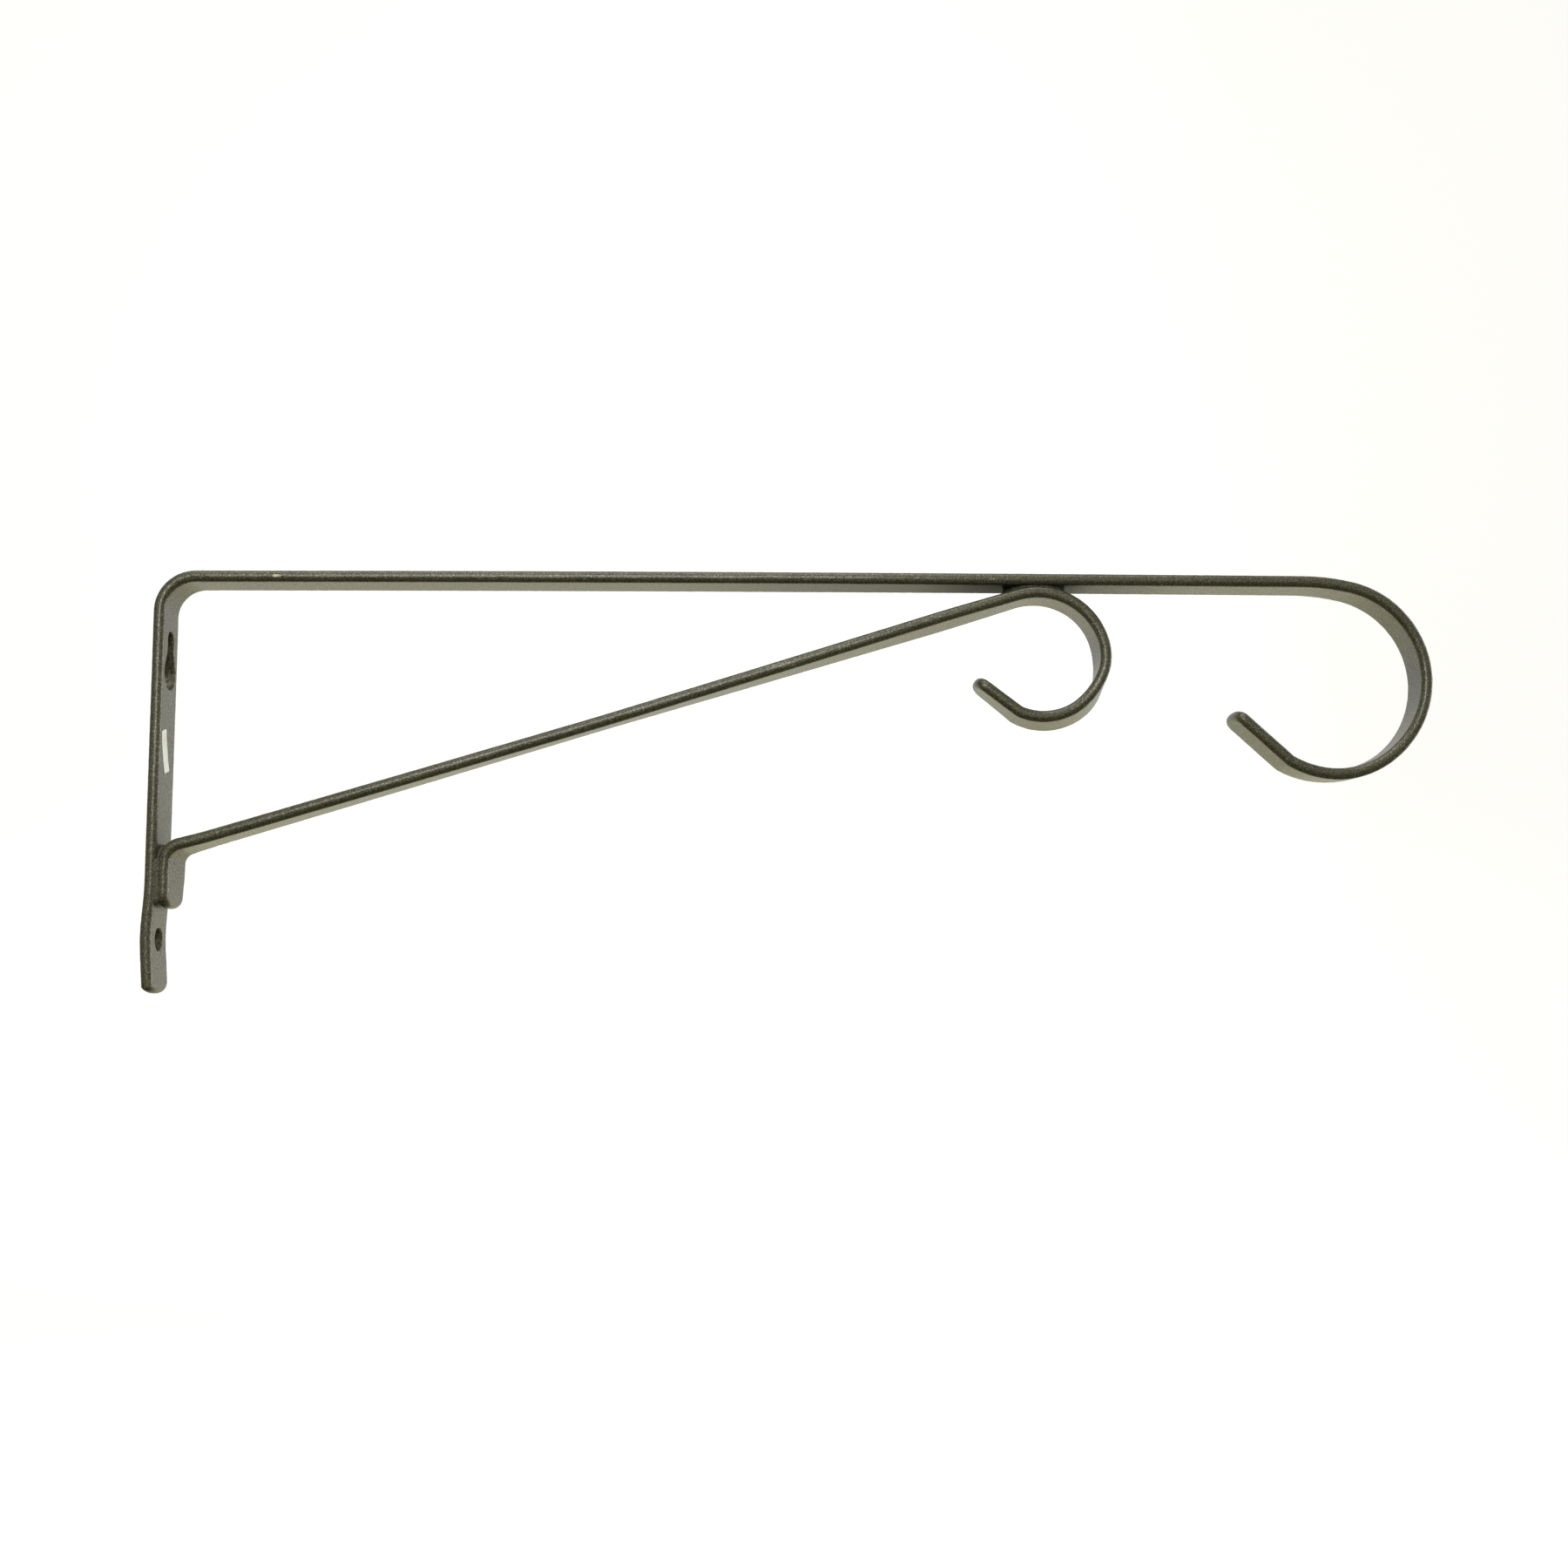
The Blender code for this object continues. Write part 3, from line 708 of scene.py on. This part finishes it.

# Light marks: place in mm, half lengths in mm, how far the colour goes to light metal (1 is all the
# way), and whether it is broken into specks. The first is a chip in the coat and the next five are
# light specks on the front edges; the last three are painted light, an even lightening of the
# holes' walls.
wearAndLightMarks = [
    ((35.9, -7.5, 50.95), (1.3, 0.9, 0.42), 1.0, False),
    ((247.6, -7.4, 51.0), (0.9, 0.9, 0.30), 0.75, True),
    ((184.0, -7.5, 51.6), (4.0, 0.9, 0.16), 0.45, True),
    ((197.0, -7.5, 51.5), (3.0, 0.9, 0.14), 0.40, True),
    ((208.0, -7.5, 51.4), (5.5, 0.9, 0.16), 0.45, True),
    ((185.5, -7.5, 24.9), (5.0, 0.9, 0.9), 0.35, True),
    # painted light: these three lighten the holes' walls evenly
    ((1.7, 0.0, 22.9), (3.0, 5.6, 5.6), 0.30, False),
    ((1.7, 0.0, 30.0), (3.0, 3.1, 6.0), 0.30, False),
    ((1.7, 0.0, -56.0), (3.0, 3.8, 3.8), 0.40, False),
]

wearAndLightLook = {
    "raggedSize": 0.0009,
    "raggedness": 1.6,
    "rim": (1.9, 1.6),         # of the torn distance, from sound coat to the full mark
    "speckSize": 0.0004,
    "speckRamp": (0.47, 0.56),
}

# Painted shade under the arm at the crown: its underside is darkened and dulled towards the notch,
# where the brace shades it. Ramps along X in mm, from nothing to a share of colour and gloss lost
notchShadeRamps = {
    "wallSide": [(150.0, 240.0, 0.38), (225.0, 250.0, 0.35)],
    "hookSide": [(310.0, 272.0, 0.36), (278.0, 266.0, 0.35)],
    "facing": (-0.70, -0.97),  # the normal's Z
    "above": 48.0,
}

# The beads wear the same enamel, duller, with lighter pigment and flake: painted light that lifts
# them out of the shade of the notches and the groove
beadLookLightened = dict(enamelLook, pigment="#4b4a3c", flake="#737160", rough=(0.62, 0.85), cellSize=0.0009,
                grainDepth=0.00005, metallic=0.25, coat=0.08, coatRough=0.45)


def wearAndLightMask(tree, place):
    # an ellipsoid round each mark, its rim torn by noise, and broken up where it is in specks; some
    # marks are worn coat, some painted light
    ragged = addNode(tree, "TexNoise", {"Scale": 1 / wearAndLightLook["raggedSize"], "Detail": 4.0},
                     {"Vector": place})
    broken = addNode(tree, "TexNoise", {"Scale": 1 / wearAndLightLook["speckSize"], "Detail": 2.0},
                     {"Vector": place})
    sound, full = wearAndLightLook["rim"]
    first, last = wearAndLightLook["speckRamp"]
    speckled = addNode(tree, "MapRange", {"From Min": first, "From Max": last},
                       {"Value": broken.outputs["Fac"]})
    total = None
    for centre, half, gone, specks in wearAndLightMarks:
        middle, scale = [v / 1000 for v in centre], [1000 / v for v in half]
        offset = addNode(tree, "VectorMath", {"operation": "SUBTRACT", 1: middle}, {0: place})
        scaled = addNode(tree, "VectorMath", {"operation": "MULTIPLY", 1: scale},
                         {0: offset.outputs["Vector"]})
        reach = addNode(tree, "VectorMath", {"operation": "LENGTH"}, {0: scaled.outputs["Vector"]})
        torn = addNode(tree, "Math", {"operation": "MULTIPLY_ADD", 1: wearAndLightLook["raggedness"]},
                       {0: ragged.outputs["Fac"], 2: reach.outputs["Value"]})
        inside = addNode(tree, "MapRange", {"From Min": sound, "From Max": full, "To Max": gone},
                         {"Value": torn.outputs[0]})
        if specks:
            inside = addNode(tree, "Math", {"operation": "MULTIPLY"},
                             {0: inside.outputs["Result"], 1: speckled.outputs["Result"]})
        mark = inside.outputs[0]
        total = mark if total is None else addNode(tree, "Math", {"operation": "MAXIMUM"},
                                                   {0: total, 1: mark}).outputs[0]
    return total


def notchShadeMask(tree, place):
    # painted shade: the lesser of both sides' ramps, on faces that look down, above the brace
    along = addNode(tree, "SeparateXYZ", {}, {0: place})
    sides = []
    for ramps in (notchShadeRamps["wallSide"], notchShadeRamps["hookSide"]):
        slow, steep = (addNode(tree, "MapRange", {"From Min": first / 1000, "From Max": last / 1000,
                                                  "To Max": share}, {"Value": along.outputs["X"]})
                       for first, last, share in ramps)
        side = addNode(tree, "Math", {"operation": "ADD"},
                       {0: slow.outputs[0], 1: steep.outputs[0]})
        sides.append(side.outputs[0])
    nearer = addNode(tree, "Math", {"operation": "MINIMUM"}, {0: sides[0], 1: sides[1]})
    normal = addNode(tree, "SeparateXYZ", {}, {0: addNode(tree, "NewGeometry").outputs["Normal"]})
    first, last = notchShadeRamps["facing"]
    down = addNode(tree, "MapRange", {"From Min": first, "From Max": last},
                   {"Value": normal.outputs["Z"]})
    above = addNode(tree, "Math", {"operation": "GREATER_THAN", 1: notchShadeRamps["above"] / 1000},
                    {0: along.outputs["Z"]})
    level = addNode(tree, "Math", {"operation": "MULTIPLY"},
                    {0: down.outputs[0], 1: above.outputs[0]})
    return addNode(tree, "Math", {"operation": "MULTIPLY"},
                   {0: nearer.outputs[0], 1: level.outputs[0]}).outputs[0]


def paintedGlintMask(tree, place, look):
    # painted glints: small light discs at the middle of some of the cells
    cells = addNode(tree, "TexVoronoi", {"feature": "F1", "Scale": 1 / look["glintSpacing"]},
                    {"Vector": place})
    outer, inner = (rim * look["glintSize"] / look["glintSpacing"] for rim in look["glintRim"])
    disc = addNode(tree, "MapRange", {"From Min": outer, "From Max": inner},
                   {"Value": cells.outputs["Distance"]})
    lot = addNode(tree, "SeparateColor", {}, {"Color": cells.outputs["Color"]})
    chosen = addNode(tree, "Math", {"operation": "GREATER_THAN", 1: look["glintless"]},
                     {0: lot.outputs[0]})
    return addNode(tree, "Math", {"operation": "MULTIPLY"},
                   {0: disc.outputs["Result"], 1: chosen.outputs[0]}).outputs[0]


def hammerEnamel(name, look, notchShaded):
    material, tree = newMaterial(name)
    place = addNode(tree, "TexCoord").outputs["Object"]
    # cells of unequal size with seams between them, and the flake's grain inside
    cell = look["cellSize"]
    drift = addNode(tree, "TexNoise", {"Scale": 1 / (look["driftCells"] * cell), "Detail": 2.0},
                    {"Vector": place})
    away = addNode(tree, "VectorMath", {"operation": "MULTIPLY_ADD", 1: (cell, cell, cell)},
                   {0: drift.outputs["Color"], 2: place})
    cells = addNode(tree, "TexVoronoi", {"feature": "DISTANCE_TO_EDGE", "Scale": 1 / cell},
                    {"Vector": away.outputs["Vector"]})
    seam = addNode(tree, "MapRange", {"interpolation_type": "SMOOTHSTEP",
                                      "From Max": look["seamWidth"]},
                   {"Value": cells.outputs["Distance"]})
    grain = addNode(tree, "TexNoise", {"Scale": 1 / look["grainSize"], "Detail": 3.0,
                                       "Roughness": 0.6}, {"Vector": place})
    first, last = look["flakeRamp"]
    flake = addNode(tree, "MapRange", {"From Min": first, "From Max": last},
                    {"Value": grain.outputs["Fac"]})
    # colour: flake on pigment, dark seams, slow clouds, painted glints, then the light marks: worn
    # coat, and painted light on the holes' walls
    base = addNode(tree, "Mix", {"data_type": "RGBA", 6: linear(look["pigment"]),
                                 7: linear(look["flake"])}, {0: flake.outputs["Result"]})
    seamShade = addNode(tree, "MapRange", {"To Min": look["seamStrength"], "To Max": 0.0},
                        {"Value": seam.outputs["Result"]})
    seamed = addNode(tree, "Mix", {"data_type": "RGBA", 7: linear(look["seam"])},
                     {0: seamShade.outputs["Result"], 6: base.outputs[2]})
    blotch = addNode(tree, "TexNoise", {"Scale": 1 / look["blotchSize"], "Detail": 3.0},
                     {"Vector": place})
    (first, last), (least, most) = look["blotchRamp"], look["blotchGain"]
    cloud = addNode(tree, "MapRange", {"From Min": first, "From Max": last, "To Min": least,
                                       "To Max": most}, {"Value": blotch.outputs["Fac"]})
    clouded = addNode(tree, "VectorMath", {"operation": "SCALE"},
                      {0: seamed.outputs[2], "Scale": cloud.outputs["Result"]})
    paintedGlints = addNode(tree, "Mix", {"data_type": "RGBA", 7: linear(look["glint"])},
                       {0: paintedGlintMask(tree, place, look), 6: clouded.outputs["Vector"]})
    colour = addNode(tree, "Mix", {"data_type": "RGBA", 7: linear(look["bareAndLit"])},
                     {0: wearAndLightMask(tree, place), 6: paintedGlints.outputs[2]})
    # surface: flakes are smoother than the resin between them, and the seams are grooves
    smooth, dull = look["rough"]
    rough = addNode(tree, "MapRange", {"To Min": dull, "To Max": smooth},
                    {"Value": flake.outputs["Result"]})
    seamBump = addNode(tree, "Bump", {"Distance": look["seamDepth"]},
                       {"Height": seam.outputs["Result"]})
    grainBump = addNode(tree, "Bump", {"Distance": look["grainDepth"]},
                        {"Height": grain.outputs["Fac"], "Normal": seamBump.outputs["Normal"]})
    links = {"Base Color": colour.outputs[2], "Roughness": rough.outputs["Result"],
             "Normal": grainBump.outputs["Normal"]}
    if notchShaded:
        # painted shade under the arm near the crown: colour darkened, gloss and coat taken down
        # where the brace shades it
        shadeShare = notchShadeMask(tree, place)
        unshadedShare = addNode(tree, "Math", {"operation": "SUBTRACT", 0: 1.0}, {1: shadeShare})
        shaded = addNode(tree, "VectorMath", {"operation": "SCALE"},
                         {0: colour.outputs[2], "Scale": unshadedShare.outputs[0]})
        roughOutOfShade = addNode(tree, "Math", {"operation": "MULTIPLY"},
                          {0: rough.outputs["Result"], 1: unshadedShare.outputs[0]})
        roughInShade = addNode(tree, "Math", {"operation": "ADD"}, {0: roughOutOfShade.outputs[0], 1: shadeShare})
        coat = addNode(tree, "Math", {"operation": "MULTIPLY", 1: look["coat"]},
                       {0: unshadedShare.outputs[0]})
        links.update({"Base Color": shaded.outputs["Vector"], "Roughness": roughInShade.outputs[0],
                      "Coat Weight": coat.outputs[0]})
    shader = addNode(tree, "BsdfPrincipled", {
        "Metallic": look["metallic"],
        "Coat Weight": look["coat"],
        "Coat Roughness": look["coatRough"],
    }, links)
    addNode(tree, "OutputMaterial", {}, {"Surface": shader.outputs["BSDF"]})
    return material


# Uncoated label paper: matt, faintly fibrous and greyed by handling
paperLook = {
    "sheet": "#fafaf4",
    "soiled": "#e0dfd4",
    "fibre": 0.0004,
    "fibreDepth": 0.00002,
    "stain": 0.004,
    "stainRamp": (0.45, 0.75),
    "rough": (0.78, 0.90),
    "paintedGlow": 0.20,        # painted light: the paper glows a little, so that it reads brighter than the lamps make it
}


def labelPaper():
    material, tree = newMaterial("uncoatedLabelPaper")
    place = addNode(tree, "TexCoord").outputs["Object"]
    fibre = addNode(tree, "TexNoise", {"Scale": 1 / paperLook["fibre"], "Detail": 4.0},
                    {"Vector": place})
    stain = addNode(tree, "TexNoise", {"Scale": 1 / paperLook["stain"], "Detail": 3.0},
                    {"Vector": place})
    first, last = paperLook["stainRamp"]
    dirt = addNode(tree, "MapRange", {"From Min": first, "From Max": last},
                   {"Value": stain.outputs["Fac"]})
    colour = addNode(tree, "Mix", {"data_type": "RGBA", 6: linear(paperLook["sheet"]),
                                   7: linear(paperLook["soiled"])}, {0: dirt.outputs["Result"]})
    least, most = paperLook["rough"]
    rough = addNode(tree, "MapRange", {"To Min": least, "To Max": most},
                    {"Value": fibre.outputs["Fac"]})
    bump = addNode(tree, "Bump", {"Distance": paperLook["fibreDepth"]},
                   {"Height": fibre.outputs["Fac"]})
    # painted light: the paper's own colour glows a little
    shader = addNode(tree, "BsdfPrincipled", {"Emission Strength": paperLook["paintedGlow"]},
                     {"Base Color": colour.outputs[2], "Emission Color": colour.outputs[2],
                      "Roughness": rough.outputs["Result"], "Normal": bump.outputs["Normal"]})
    addNode(tree, "OutputMaterial", {}, {"Surface": shader.outputs["BSDF"]})
    return material


def dressed(piece, node):
    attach(piece, "root")
    if node:
        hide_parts(node)


stripEnamel = hammerEnamel("greyGreenHammerEnamel", enamelLook, True)
beadEnamel = hammerEnamel("hammerEnamelOverWeld", beadLookLightened, False)

armPath, armTwist = longPath()
bracePath, braceTwist = shortPath(armPath)

tabCorner = (longStrip["tabNearCrown"], longStrip["tabNearSquareness"])
armStrip = stripPiece("armStrip", armPath, armTwist, tabCorner, stripEnamel)
keyholePlace = endOf(armPath, "leg") - holes["keyholeBelowCorner"]
cutters = [punch(armStrip, "keyholePunch", armPath, armTwist, keyholePlace, keyholeRing),
           punch(armStrip, "tabHolePunch", armPath, armTwist, holes["tabHoleFromEnd"], roundRing)]
applied(armStrip)
for cutter in cutters:
    bpy.data.objects.remove(cutter)
dressed(armStrip, "arm_bar")
print("long strip:", len(armStrip.data.polygons), "faces")

footCorner = (bar["endCrown"], bar["endSquareness"])
braceStrip = stripPiece("braceStrip", bracePath, braceTwist, footCorner, stripEnamel)
dressed(braceStrip, "brace_bar")
print("short strip:", len(braceStrip.data.polygons), "faces")


def underArm(points, sink):
    moved = points.copy()
    moved[..., 2] = armUnderside(armPath, points[..., 0]) + sink
    return moved


def onLeg(points, sink):
    moved = points.copy()
    moved[..., 0] = legFace(points[..., 1]) - sink
    return moved


def belowArm(points):
    return armUnderside(armPath, points[..., 0]) - points[..., 2]


def offLeg(points):
    return points[..., 0] - legFace(points[..., 1])


crown, footTop = endOf(bracePath, "crown"), endOf(bracePath, "foot")
for name, node, start, direction, leg, openingAt, seatPoint in (
        ("crownBeadWallSide", "crown_weld_wall_side", crown, -1, "wallSideLeg", belowArm, underArm),
        ("crownBeadHookSide", "crown_weld_hook_side", crown, 1, "hookSideLeg", belowArm, underArm),
        ("footBead", "foot_weld", footTop, 1, "footLeg", offLeg, onLeg)):
    laid = weldBead(name, bracePath, braceTwist, start, direction, bead[leg], openingAt, seatPoint,
                    beadEnamel)
    dressed(laid, node)
dressed(seamBead(beadEnamel), "foot_seam_weld")
print("weld beads laid")

dressed(blankLabel(labelPaper()), None)
print("blank label stuck on")


# Camera: a normal lens 0.58 m from the strips, about level with the tab's end and tilted up
camera = {
    "place": (0.172237, -0.580077, -0.072180),
    "azimuth": 1.347,          # degrees from +Y towards +X
    "elevation": 6.145,
    "lens": 45.046,            # mm
    "sensor": 36,
    "clipStart": 0.01,
}


def placeCamera():
    data = bpy.data.cameras.new("camera")
    data.sensor_width = camera["sensor"]
    data.lens = camera["lens"]
    data.clip_start = camera["clipStart"]
    eye = bpy.data.objects.new("camera", data)
    bpy.context.scene.collection.objects.link(eye)
    eye.location = camera["place"]
    tilt, turn = radians(camera["elevation"]), radians(camera["azimuth"])
    eye.rotation_euler = Euler((pi / 2 + tilt, 0, -turn))
    bpy.context.scene.camera = eye


# Studio: a pale floor that curves up into a wall behind, under soft lamps
studio = {
    "floorZ": -0.30,
    "wallY": 1.30,
    "wallHeight": 2.6,
    "sweepRadius": 0.45,
    "sweepSteps": 24,
    "frontY": -2.2,
    "middleX": 0.18,
    "halfX": 2.4,
    "paint": "#d8d8d6",
    "screen": 0.72,            # added for camera rays, so that the unshaded floor is white
    "grey": "#74725f",         # what bounces from the paint onto the object
    "mirrorShare": 0.92,       # of the screen's level, seen in the gloss
    "floorGain": 0.45,         # the floor's gloss is brighter than the wall's
    "warm": "#faf5d2",         # gloss colour of the floor, which fades to white up the wall
    "warmUpTo": 0.10,
    "backFrom": 0.15,          # behind this the sweep also glows in the gloss
    "backTo": 0.70,
    "dim": "#9a988b",          # the room, which lights the object and shows in its gloss
}

# Soft lamps: place, size and watts, all aimed at the middle of the bracket
lamps = {
    "topLamp": {"place": (0.10, -0.35, 1.10), "size": 1.0, "watts": 6.0},
    "frontLamp": {"place": (0.00, -1.10, 0.32), "size": 0.6, "watts": 5.5},
    "rightLamp": {"place": (1.15, 0.42, 0.15), "size": 1.1, "watts": 7.7},
}


def studioPaint():
    # camera rays see an even white, gloss sees a warm floor and a white wall, all else plain paint
    s = studio
    material, tree = newMaterial("paleStudioPaint")
    rays = addNode(tree, "LightPath")
    shade = addNode(tree, "Mix", {"data_type": "RGBA", 6: linear(s["grey"]), 7: linear(s["paint"])},
                    {0: rays.outputs["Is Camera Ray"]})
    lit = addNode(tree, "BsdfDiffuse", {}, {"Color": shade.outputs[2]})
    place = addNode(tree, "SeparateXYZ", {}, {0: addNode(tree, "TexCoord").outputs["Object"]})
    behind = addNode(tree, "MapRange", {"From Min": s["backFrom"], "From Max": s["backTo"]},
                     {"Value": place.outputs["Y"]})
    mirrored = addNode(tree, "Math", {"operation": "MAXIMUM"},
                       {0: rays.outputs["Is Glossy Ray"], 1: rays.outputs["Is Transmission Ray"]})
    mirrored = addNode(tree, "Math", {"operation": "MULTIPLY"},
                       {0: mirrored.outputs[0], 1: behind.outputs["Result"]})
    mirrored = addNode(tree, "Math", {"operation": "MULTIPLY", 1: s["mirrorShare"]},
                       {0: mirrored.outputs[0]})
    low = addNode(tree, "MapRange", {"From Min": s["warmUpTo"], "From Max": s["floorZ"]},
                  {"Value": place.outputs["Z"]})
    low = addNode(tree, "Math", {"operation": "MULTIPLY"},
                  {0: low.outputs["Result"], 1: rays.outputs["Is Glossy Ray"]})
    tint = addNode(tree, "Mix", {"data_type": "RGBA", 6: linear("#ffffff"), 7: linear(s["warm"])},
                   {0: low.outputs[0]})
    seen = addNode(tree, "Math", {"operation": "MAXIMUM"},
                   {0: rays.outputs["Is Camera Ray"], 1: mirrored.outputs[0]})
    lift = addNode(tree, "Math", {"operation": "MULTIPLY_ADD", 1: s["screen"] * s["floorGain"],
                                  2: s["screen"]}, {0: low.outputs[0]})
    level = addNode(tree, "Math", {"operation": "MULTIPLY"},
                    {0: seen.outputs[0], 1: lift.outputs[0]})
    glow = addNode(tree, "Emission", {}, {"Color": tint.outputs[2], "Strength": level.outputs[0]})
    both = addNode(tree, "AddShader", {}, {0: lit.outputs[0], 1: glow.outputs[0]})
    clear = addNode(tree, "BsdfTransparent")
    side = addNode(tree, "NewGeometry")
    oneSided = addNode(tree, "MixShader", {}, {0: side.outputs["Backfacing"], 1: both.outputs[0],
                                               2: clear.outputs[0]})
    addNode(tree, "OutputMaterial", {}, {"Surface": oneSided.outputs[0]})
    return material


def studioSweep():
    # Profile of floor, quarter circle and wall, carried sideways
    s = studio
    turn = np.linspace(0, pi / 2, s["sweepSteps"])
    curveY = s["wallY"] - s["sweepRadius"] + s["sweepRadius"] * np.sin(turn)
    y = np.concatenate([[s["frontY"]], curveY, [s["wallY"]]])
    curveZ = s["sweepRadius"] * (1 - np.cos(turn))
    z = np.concatenate([[0], curveZ, [s["wallHeight"]]]) + s["floorZ"]
    x = np.array([-s["halfX"], s["halfX"]]) + s["middleX"]
    points = np.stack(np.broadcast_arrays(x, y[:, None], z[:, None]), -1)
    mesh = gridMesh("studioSweep", points, closed=False)
    sweep = newPiece("studioSweep", mesh, studioPaint())
    if mesh.polygons[0].normal.z < 0:
        mesh.flip_normals()


def studioLamps():
    middle = (Vector(cadBox[0]) + Vector(cadBox[1])) / 2
    for name, lamp in lamps.items():
        data = bpy.data.lights.new(name, "AREA")
        data.shape = "DISK"
        data.size = lamp["size"]
        data.energy = lamp["watts"]
        holder = bpy.data.objects.new(name, data)
        bpy.context.scene.collection.objects.link(holder)
        holder.visible_camera = False
        holder.location = lamp["place"]
        holder.rotation_euler = (middle - Vector(lamp["place"])).to_track_quat("-Z", "Y").to_euler()


def studioWorld():
    world = bpy.data.worlds.new("studioRoom")
    bpy.context.scene.world = world
    world.use_nodes = True
    tree = world.node_tree
    tree.nodes.clear()
    rays = addNode(tree, "LightPath")
    room = addNode(tree, "Background", {"Color": linear(studio["dim"]), "Strength": 1.0})
    white = addNode(tree, "Background", {"Color": linear("#ffffff"), "Strength": 1.0})
    mixed = addNode(tree, "MixShader", {}, {0: rays.outputs["Is Camera Ray"], 1: room.outputs[0],
                                            2: white.outputs[0]})
    addNode(tree, "OutputWorld", {}, {"Surface": mixed.outputs[0]})


placeCamera()
studioSweep()
studioLamps()
studioWorld()
bpy.context.scene.view_settings.view_transform = "Standard"
print("camera and studio ready")
